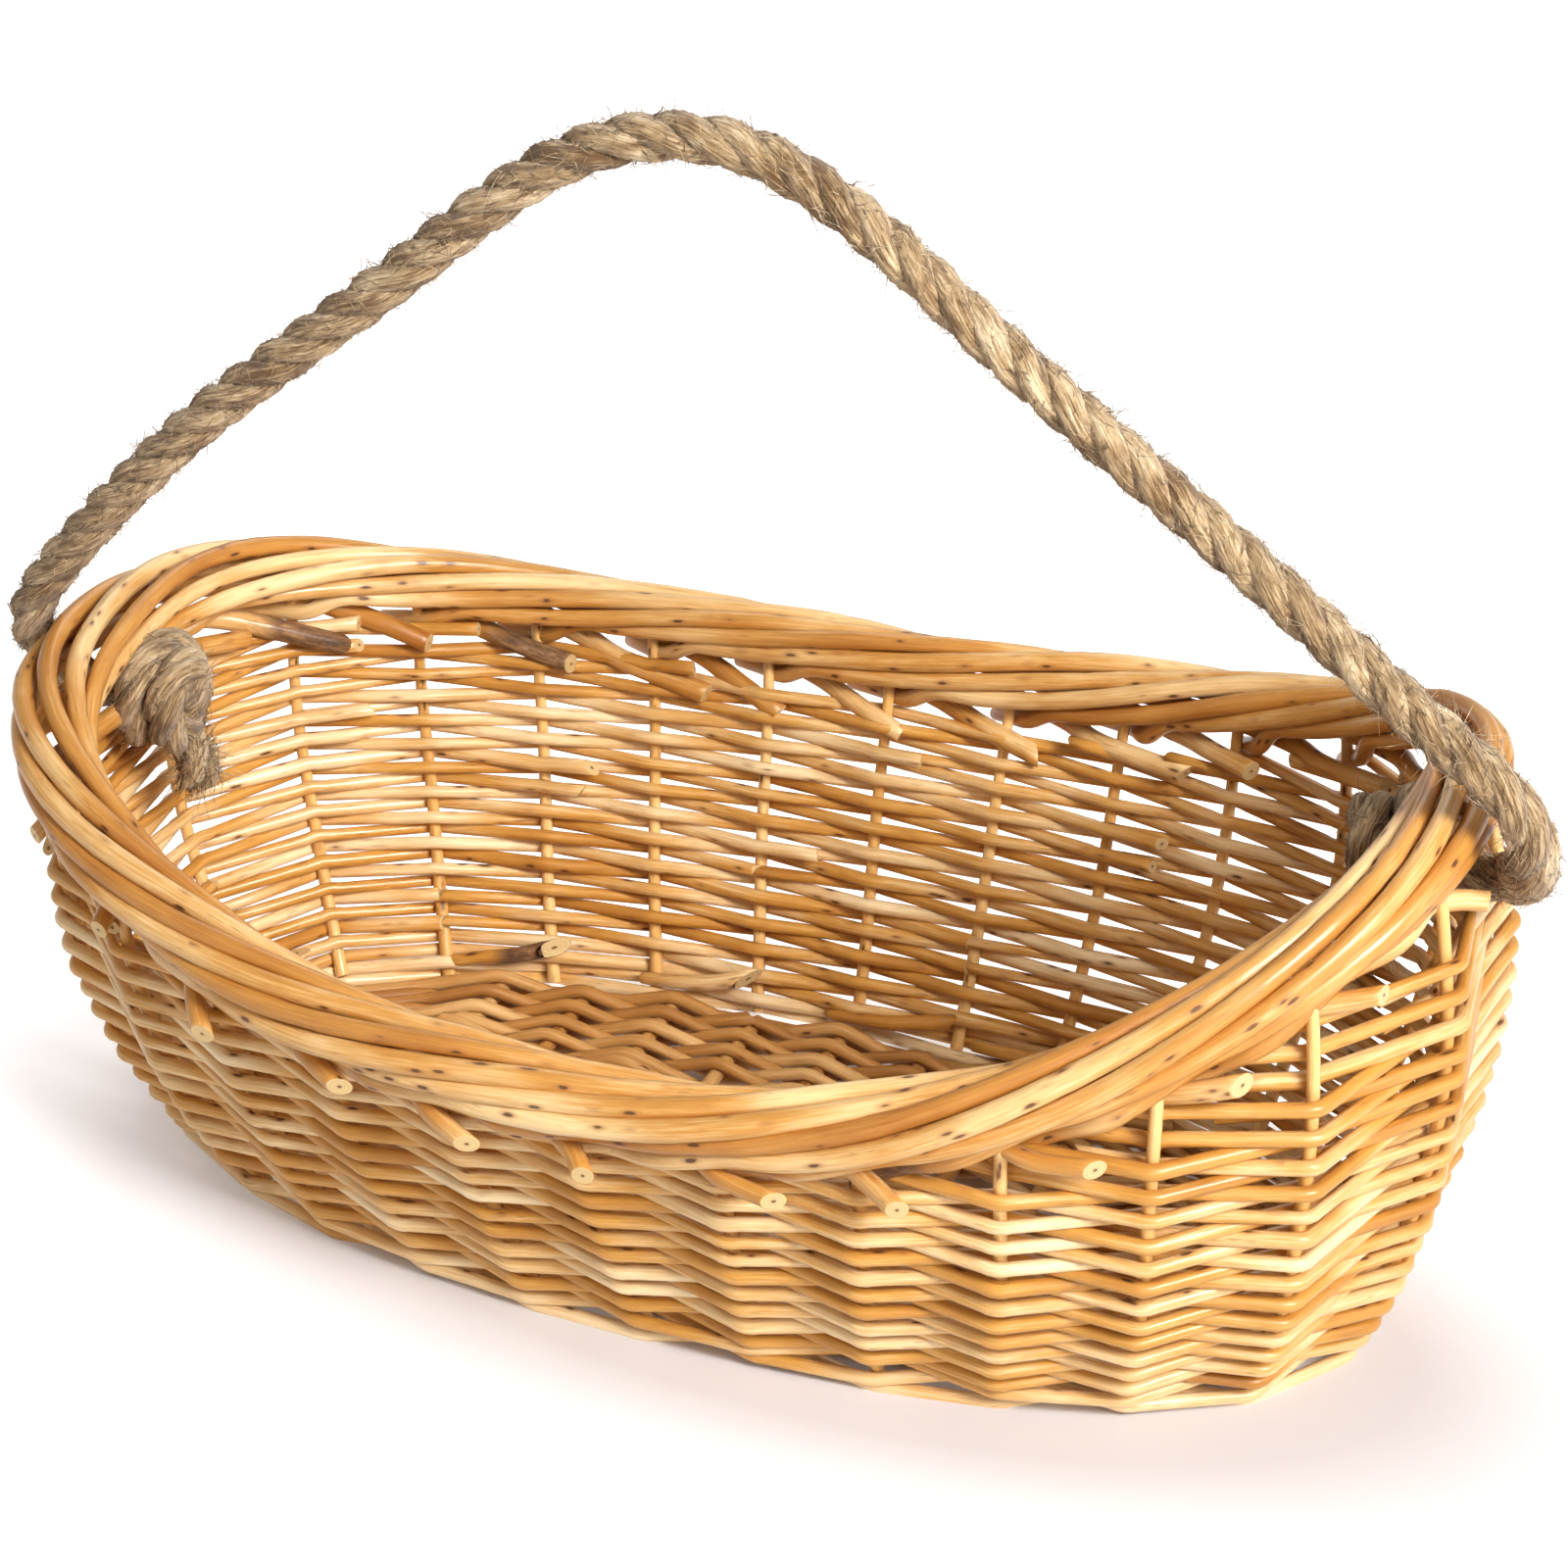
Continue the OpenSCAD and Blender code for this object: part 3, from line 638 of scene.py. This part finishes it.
def foot_butt(bundle, i):
    """The thick end of a wale rod, left lying along the inside of the wall's foot."""
    rng = bundle.rng
    points = []
    for along, z, inward in ((0, 7, 1), (0.35, 8, 5), (0.7, 10, 7.5), (1.0 + rng.uniform(0, 0.2), 14, 8.5)):
        t = stake_t(i - along)
        height = (z + rng.uniform(-0.5, 0.5)) * MM
        points.append(wall(t, height) - (inward * MM + STAKE_R) * wall_out(t, height))
    path = smooth_curve(points, 4 * MM)
    share = np.linspace(0, 1, len(path))
    bark = np.clip(2 * share - 0.6, 0, 0.8) * (rng.uniform() < 0.05)
    bundle.add(path, BUTT_R * (0.75 + 0.3 * share), 14, bark=bark, slants=(0, rng.uniform(1, 2)))


def build_wall():
    stakes = Bundle("side_stake_rods")
    for i in range(STAKES):
        t = stake_t(i)
        z = np.linspace(WALL_FOOT, rim_height(t) - 5 * MM, 36)
        sway = 0.25 * MM * np.sin(z[:, None] * 70 + i) * np.array([1, 1, 0])
        stakes.add(wall(t, z) + sway, STAKE_R * np.linspace(1.08, 0.9, len(z)), 12)
    stakes.finish(stake_willow, "basket", ["side_stakes"])

    wale = Bundle("foot_wale_rods")
    for k in range(WALE_RODS):
        points = []
        z = WALE_Z0 + WALE_PITCH * k
        for i in range(STAKES + 2):
            t = stake_t(i)
            offset = (STAKE_R + WALE_R) * (-1 if (i + k) % 3 == 2 else 1)
            points.append(wall(t, z) + offset * wall_out(t, z))
        path = bent_line(points, CORNER_REACH, 0.6 * MM)
        wale.add(path, WALE_R * np.linspace(1.05, 0.95, len(path)), 12)
    for i in range(0, STAKES, 2):
        foot_butt(wale, i + wale.rng.uniform(0, 1))
    wale.finish(weaver_willow, "basket", ["foot_wale"])

    for k in range(FULL_ROWS):
        node = f"weaver_row_{k + 1:02d}"
        row = Bundle(f"{node}_rods")
        start = (7 * k + 3) % STAKES
        start += (start + k + 1) % 2
        with_butt = k >= FULL_ROWS // 2
        row_rod(row, k, start, start + 12, with_butt, False)
        row_rod(row, k, start + 12, start + STAKES, with_butt, False)
        row.finish(weaver_willow, "basket", [node])

    for end, low in (("low", True), ("high", False)):
        packing = Bundle(f"packing_row_rods_{end}_end")
        for k in range(FULL_ROWS, MOST_ROWS):
            for first, last in row_runs(k):
                middle = (first + last) // 2 % STAKES
                if (math.cos(stake_t(middle)) < 0) == low and last > first:
                    first += (first + k + 1) % 2 if last - first > 2 else 0
                    row_rod(packing, k, first, last, (first + k) % 2 == 1, (last + k) % 2 == 1)
        packing.finish(weaver_willow, "basket", [f"packing_rows_{end}_end"])


# ---------------------------------------------------------------- border
BORDER_R = 3.25 * MM
ROLL_HALF_H = 8 * MM
ROLL_HALF_W = 8.8 * MM          # at the middle of the long sides
ROLL_WIDER_LOW = 3.4 * MM       # added at the low end
ROLL_WIDER_HIGH = 1.4 * MM      # added at the high end
ROLL_OUT_LOW = 1.5 * MM         # how far the band sits outwards at the low end
ROLL_IN_HIGH = 4.2 * MM         # how far it sits inwards at the high end
BORDER_SPAN = 6.6               # stakes that a rod passes while it rolls over the rim
ROLL_START = math.radians(-62)  # where a rod joins the roll, from straight outwards
ROLL_END = math.radians(232)    # and where it leaves it, over the top
BARK_CHANCE = 0.22              # of a border rod whose butt kept its bark


def rim_frame(t):
    """Outwards and upwards, square to the rim's centre line."""
    d = unit(rim(t + SMALL_TURN) - rim(t - SMALL_TURN))
    out = unit(np.cross(d, UP))
    return out, np.cross(out, d)


def border_point(i, out_by, up_by):
    """A point beside the rim at stake number i, out_by outwards and up_by upwards."""
    t = stake_t(i)
    out, up = rim_frame(t)
    return rim(t) + out_by * out + up_by * up


def border_rod(bundle, i):
    """Starts inside the wall, rolls up the outside and over the rim, and ends outside the wall."""
    rng = bundle.rng
    points = []
    under = -ROLL_HALF_H - 1.5 * BORDER_R
    drop = rng.uniform(5, 11) * MM
    inside = -STAKE_R - 2.2 * BORDER_R
    points.append(border_point(i - 1.15 - rng.uniform(0, 0.45), inside, under - drop))
    points.append(border_point(i - 0.8, 0.6 * inside, under - 0.4 * drop))
    points.append(border_point(i - 0.4, 1.5 * MM, under))
    phases = rng.uniform(0, 2 * math.pi, 2)
    for f in np.linspace(0, 1, 20):
        at = i + 0.15 + f * (BORDER_SPAN - 0.15)
        angle = ROLL_START + f * (ROLL_END - ROLL_START)
        t = stake_t(at)
        high = math.cos(t) > 0
        endness = math.cos(t) ** 4
        half_w = ROLL_HALF_W + (ROLL_WIDER_HIGH if high else ROLL_WIDER_LOW) * endness
        middle = (-ROLL_IN_HIGH if high else ROLL_OUT_LOW) * endness
        loose = 1 + 0.12 * math.sin(5.2 * f + phases[0]) + 0.06 * math.sin(11 * f + phases[1])
        points.append(border_point(at, middle + loose * half_w * math.cos(angle),
                                   loose * ROLL_HALF_H * math.sin(angle)))
    end = i + BORDER_SPAN
    drop = rng.uniform(0, 9) * MM
    outside = STAKE_R + rng.uniform(2.4, 3.1) * BORDER_R
    points.append(border_point(end + 0.25, -2 * MM, under))
    points.append(border_point(end + 0.45, 0.4 * outside, under - 0.5 * drop))
    points.append(border_point(end + rng.uniform(0.55, 0.85), outside, under - drop))
    path = smooth_curve(points, 3.2 * MM)
    share = np.linspace(0, 1, len(path))
    swelling = 1 + 0.02 * np.sin(share * 37 + i) + 0.015 * np.sin(share * 83 + 2 * i)
    for place in rng.uniform(0.05, 0.95, 6):
        swelling += 0.05 * np.exp(-((share - place) / 0.007) ** 2)
    bark = np.clip(1.2 - share * 11, 0, 0.75) * (rng.uniform() < BARK_CHANCE)
    thickness = BORDER_R * rng.uniform(0.9, 1.08)
    last_out = rim_frame(stake_t(end + 0.7))[0]
    cut_facing = unit(1.5 * last_out + unit(path[-1] - path[-2]))
    bundle.add(path, thickness * (1.08 - 0.16 * share) * swelling, 18, bark=bark,
               slants=(rng.uniform(0.1, 0.9), 0), facing=cut_facing)


def build_border():
    border = Bundle("border_rolled_rods")
    for i in range(STAKES):
        border_rod(border, i)
    border.finish(border_willow, "basket", ["border_rods"])


# ---------------------------------------------------------------- rope handle
ROPE_LAY = 43 * MM
STRAND_R = 3.9 * MM
STRAND_LAY_R = 3.05 * MM
YARNS = 9
YARN_LAY = 24 * MM
FUZZ_FIBRES = 2200              # short ones that stand off each strand
FLAT_FIBRES = 3200              # ones that lie along its surface
LONG_FIBRES = 110
KNOT_FIBRES = 350               # of each kind, on each strand of a knot
TAIL_FIBRES = 260
PATH_STEP = 1.3 * MM
HANDLE_H = 348 * MM             # to the middle of the rope at its crown
KNOT_GAP = 10.5 * MM            # from the wall's middle to the knot
LOW_WALL_X = low_knot_low[0] - KNOT_GAP
HIGH_WALL_X = high_knot_high[0] + KNOT_GAP
BORDER_PASS = 21.7 * MM         # from the rim's centre line to the rope's, where it passes the border


def handle_points():
    """The rope's centre line, from inside the low end's hole over the crown to inside the high end's."""
    low_out = RIM_SHIFT - RIM_A - BORDER_PASS
    high_out = RIM_SHIFT + RIM_A + BORDER_PASS
    return [
        [LOW_WALL_X + 9 * MM, 0, LOW_HOLE_H],
        [LOW_WALL_X - 6 * MM, 0, LOW_HOLE_H],
        [low_out - MM, -4 * MM, LOW_HOLE_H + 11 * MM],
        [low_out + 3.5 * MM, -11 * MM, LOW_END_H + 17 * MM],
        [-0.815 * RIM_A, -12 * MM, 0.67 * HANDLE_H],
        [-0.505 * RIM_A, -8 * MM, 0.833 * HANDLE_H],
        [-0.24 * RIM_A, -3 * MM, 0.967 * HANDLE_H],
        [-0.041 * RIM_A, 0, HANDLE_H],
        [0.14 * RIM_A, 0, 0.962 * HANDLE_H],
        [0.416 * RIM_A, -8 * MM, 0.85 * HANDLE_H],
        [0.696 * RIM_A, -16 * MM, 0.741 * HANDLE_H],
        [0.912 * RIM_A, -24 * MM, 0.656 * HANDLE_H],
        [high_out - 5.5 * MM, -27 * MM, HIGH_END_H + 18 * MM],
        [high_out + 0.5 * MM, -16 * MM, HIGH_HOLE_H + 13 * MM],
        [HIGH_WALL_X + 6 * MM, 0, HIGH_HOLE_H],
        [HIGH_WALL_X - 9 * MM, 0, HIGH_HOLE_H],
    ]


def even_path(points, step):
    fine = smooth_curve(points, step / 3)
    s = running_length(fine)
    at = np.linspace(0, s[-1], int(s[-1] / step) + 1)
    return np.stack([np.interp(at, s, fine[:, axis]) for axis in range(3)], -1)


def laid_strand(axis, number, lay_r, lay, spread=None):
    """The middle of one strand of a right-hand laid rope round an axis."""
    d, u, v = frames(axis)
    s = running_length(axis)
    turn = 2 * math.pi * (s / lay + number / 3)
    reach = lay_r * (np.ones(len(axis)) if spread is None else spread)
    return axis + reach[:, None] * (np.cos(turn)[:, None] * u + np.sin(turn)[:, None] * v)


def yarn_lumps(path, sides, rng):
    """The bulges that yarns make round a strand: they twist the other way from the strands."""
    s = running_length(path)
    angle = 2 * math.pi * np.arange(sides) / sides
    phase = YARNS / 2 * (angle[None] + 2 * math.pi * s[:, None] / YARN_LAY)
    ridges = np.abs(np.cos(phase)) ** 0.8
    rough = rng.normal(0, 0.03, (len(path), sides))
    slow = 0.035 * np.sin(s * 260 + rng.uniform(0, 6))[:, None]
    return 0.95 + 0.10 * ridges + rough + slow


def add_strand(bundle, path, radius, sides, tone, slants=(0.0, 0.0)):
    bundle.add(path, radius, sides, tone, lumps=yarn_lumps(path, sides, bundle.rng), slants=slants)


def strand_tone(number):
    return 0.44 + 0.06 * number


def add_hairs(bundle, path, reach, count, length, lift=0.5):
    """Stray fibres, with lengths in mm, that leave the rope at a shallow angle and curl."""
    rng = bundle.rng
    d, u, v = frames(path)
    for at in rng.integers(2, len(path) - 2, count):
        turn = rng.uniform(0, 2 * math.pi)
        out = math.cos(turn) * u[at] + math.sin(turn) * v[at]
        side = np.cross(d[at], out)
        start = path[at] + out * reach * rng.uniform(0.8, 0.98)
        heading = unit(rng.choice([-1, 1]) * d[at] + lift * rng.uniform(0.1, 1.5) * out
                       + rng.normal(0, 0.8) * side)
        bend = rng.normal(0, 0.5, 3)
        span = rng.uniform(*length) * MM
        f = np.linspace(0, 1, 4)[:, None]
        hair = start + span * (heading * f + bend * f * f * 0.6 - out * lift * 0.35 * f ** 3)
        bundle.add(hair, np.linspace(0.15, 0.06, 4) * MM, 3, rng.uniform(0, 1))


KNOT_COIL_R = 13.4 * MM
KNOT_TURN = 600                 # degrees
KNOT_RISE = 2.5 * MM            # of the knot above its hole


def knot_axis(side, hole_x, hole_z):
    """A stopper knot: the rope runs in from the hole, wraps twice round itself and ends in a tail."""
    points = [[0, 0, 0], [13 * MM, 0, 0], [26 * MM, 0, MM]]
    for turn in range(90, 90 + KNOT_TURN + 1, 30):
        share = (turn - 90) / KNOT_TURN
        x = (29 - 20 * share) * MM
        angle = math.radians(turn)
        reach = KNOT_COIL_R * min(1, 0.8 + 2 * share)
        points.append([x, reach * math.cos(angle), reach * math.sin(angle)])
    points += [[16 * MM, 4 * MM, -15 * MM], [22 * MM, 3 * MM, -19 * MM]]
    return [[hole_x + side * x, y, hole_z + z + KNOT_RISE * min(1, x / (15 * MM))] for x, y, z in points]


def tail_axis(side, hole_x, hole_z):
    """The frayed end of the rope, below its knot."""
    points = [[18, 4, -15], [24, 3, -20], [27, 1, -26], [28, -1, -32]]
    return [[hole_x + side * x * MM, y * MM, hole_z + z * MM + KNOT_RISE] for x, y, z in points]


def build_handle():
    axis = even_path(handle_points(), PATH_STEP)
    for number in range(3):
        strand = Bundle(f"rope_strand_{number + 1}_yarns")
        path = laid_strand(axis, number, STRAND_LAY_R, ROPE_LAY)
        add_strand(strand, path, STRAND_R * 1.04, 26, strand_tone(number))
        strand.finish(rope_jute, "handle", [f"rope_strand_{number + 1}"])
        fibres = Bundle(f"rope_strand_{number + 1}_stray_fibres")
        add_hairs(fibres, path, STRAND_R, FUZZ_FIBRES, (2, 6), 0.6)
        add_hairs(fibres, path, 1.08 * STRAND_R, FLAT_FIBRES, (3, 8), 0.15)
        add_hairs(fibres, path, STRAND_R, LONG_FIBRES, (6, 12))
        fibres.finish(rope_jute, "handle")

    ends = (("low", 1, LOW_WALL_X + 3 * MM, LOW_HOLE_H), ("high", -1, HIGH_WALL_X - 3 * MM, HIGH_HOLE_H))
    for end, side, hole_x, hole_z in ends:
        knot = Bundle(f"knot_{end}_end_rope")
        knot_path = even_path(knot_axis(side, hole_x, hole_z), PATH_STEP)
        for number in range(3):
            path = laid_strand(knot_path, number, 0.9 * STRAND_LAY_R, ROPE_LAY)
            add_strand(knot, path, 0.97 * STRAND_R, 22, strand_tone(number))
            add_hairs(knot, path, STRAND_R, KNOT_FIBRES, (1.5, 6))
            add_hairs(knot, path, 1.08 * STRAND_R, KNOT_FIBRES, (3, 8), 0.15)
        knot.finish(rope_jute, "handle", [f"knot_{end}_end"])

        tail = Bundle(f"rope_tail_{end}_end_strands")
        tail_path = even_path(tail_axis(side, hole_x, hole_z), MM)
        share = np.linspace(0, 1, len(tail_path))
        for number in range(3):
            path = laid_strand(tail_path, number, 0.9 * STRAND_LAY_R, 1.6 * ROPE_LAY, 1 + 0.5 * share ** 2)
            radius = 0.97 * STRAND_R * (1 + 0.1 * share - 0.3 * share ** 4)
            add_strand(tail, path, radius, 22, strand_tone(number), slants=(0.0, 0.9))
            add_hairs(tail, path[len(path) // 3:], 0.8 * STRAND_R, TAIL_FIBRES, (4, 11), 0.35)
        tail.finish(rope_jute, "handle", [f"rope_tail_{end}_end"])


# ---------------------------------------------------------------- stage
CAMERA_AZIMUTH = math.radians(22.3)
CAMERA_ELEVATION = math.radians(29.6)
CAMERA_DISTANCE = 1.10
CAMERA_TARGET = Vector((0.0229, -0.0205, 0.1595))
CAMERA_LENS = 85.4
# The floor paper glows like a lamp: its emission is painted light that lights the basket, weakest at this
# point.
PAPER_GLOW_LOWEST_AT = (0.05, -0.28, 0)     # the paper throws more light on the basket further from here
# Middle of the ovals round the basket where the glow the camera sees fades into a painted shadow.
SHADE_MIDDLE = (0.05, -0.03, 0)
FLOOR_HALF = 40.0               # far enough to meet the background at a low camera
LIGHT_FROM_WORLD = 0.34


def soft_light(name, place, size, power, target=(0, 0, 0.08), spread=180):
    """A square light that faces a target, with its beam's spread in degrees."""
    data = bpy.data.lights.new(name, "AREA")
    data.size = size
    data.energy = power
    data.spread = math.radians(spread)
    light = bpy.data.objects.new(name, data)
    light.location = place
    light.rotation_euler = (Vector(target) - Vector(place)).to_track_quat("-Z", "Y").to_euler()
    bpy.context.scene.collection.objects.link(light)


def glowing_paper_with_painted_shadow():
    """Paper that glows though it is no lamp, which is painted light: the glow that lights the basket grows
    with distance from a point in front of it, and the camera sees the paper white away from the basket and
    fading close to it into a painted soft shadow.
    """
    sh = Shader("glowing_paper_with_painted_shadow")
    place = sh.node("ShaderNodeNewGeometry").outputs["Position"]
    away = sh.node("ShaderNodeVectorMath", {0: place, 1: PAPER_GLOW_LOWEST_AT}, operation="DISTANCE")
    # Painted light: the glow that rays other than the camera's see, which lights the basket.
    painted_glow_for_basket = sh.remap(away.outputs["Value"], 0.2, 0.75, 0.06, 0.55)
    from_shade = sh.node("ShaderNodeVectorMath", {0: place, 1: SHADE_MIDDLE}, operation="SUBTRACT")
    in_ovals = sh.scaled(from_shade.outputs["Vector"], (1 / BASE_A, 1 / BASE_B, 0))
    ovals_away = sh.node("ShaderNodeVectorMath", {0: in_ovals}, operation="LENGTH")
    # Painted shadow: the glow the camera sees is zero close to the basket and rises to 0.75 away from it.
    seen = sh.remap(ovals_away.outputs["Value"], 0.9, 1.85, 0.0, 0.75)
    by_camera = sh.node("ShaderNodeLightPath").outputs["Is Camera Ray"]
    more = sh.math("MULTIPLY", by_camera, sh.math("SUBTRACT", seen, painted_glow_for_basket))
    glow = sh.math("ADD", painted_glow_for_basket, more)
    return sh.set(Base_Color=(0.72, 0.695, 0.705, 1.0), Roughness=0.9,
                  Emission_Color=(1.0, 0.995, 1.0, 1.0), Emission_Strength=glow)


def build_stage():
    scene = bpy.context.scene
    floor_mesh = bpy.data.meshes.new("floor")
    floor_corners = [(FLOOR_HALF * x, FLOOR_HALF * y, 0) for x, y in ((-1, -1), (1, -1), (1, 1), (-1, 1))]
    floor_mesh.from_pydata(floor_corners, [], [(0, 1, 2, 3)])
    floor = bpy.data.objects.new("floor", floor_mesh)
    scene.collection.objects.link(floor)
    floor_mesh.materials.append(glowing_paper_with_painted_shadow())

    world = bpy.data.worlds.new("studio")
    world.use_nodes = True
    background = world.node_tree.nodes["Background"]
    background.inputs["Color"].default_value = (1.0, 0.995, 0.985, 1.0)
    seen = world.node_tree.nodes.new("ShaderNodeLightPath").outputs["Is Camera Ray"]
    brightness = world.node_tree.nodes.new("ShaderNodeMapRange")
    brightness.inputs["To Min"].default_value = LIGHT_FROM_WORLD
    brightness.inputs["To Max"].default_value = 1.0
    world.node_tree.links.new(seen, brightness.inputs["Value"])
    world.node_tree.links.new(brightness.outputs["Result"], background.inputs["Strength"])
    scene.world = world

    add_lights()
    add_camera(scene)
    scene.view_settings.view_transform = "Standard"
    scene.view_settings.look = "Medium High Contrast"


def add_lights():
    soft_light("key", (1.6, -0.8, 1.3), 0.5, 28)
    soft_light("far_wall_light", (0.75, -0.55, 0.95), 0.3, 0.5, (-0.14, 0.1, 0.08), 40)
    soft_light("near_wall_sheen", (0.6, -0.95, 0.4), 0.3, 0.15, (0.14, -0.1, 0.06), 60)
    soft_light("left_fill", (-1.3, -1.4, 1.4), 0.9, 2)
    soft_light("back", (-0.5, 1.6, 1.4), 1.0, 6)


def add_camera(scene):
    data = bpy.data.cameras.new("camera")
    data.lens = CAMERA_LENS
    data.sensor_width = 36
    camera = bpy.data.objects.new("camera", data)
    back = Vector((math.sin(CAMERA_AZIMUTH) * math.cos(CAMERA_ELEVATION),
                   -math.cos(CAMERA_AZIMUTH) * math.cos(CAMERA_ELEVATION),
                   math.sin(CAMERA_ELEVATION)))
    camera.location = CAMERA_TARGET + CAMERA_DISTANCE * back
    camera.rotation_euler = (-back).to_track_quat("-Z", "Y").to_euler()
    scene.collection.objects.link(camera)
    scene.camera = camera


build_base()
build_wall()
build_border()
build_handle()
build_stage()
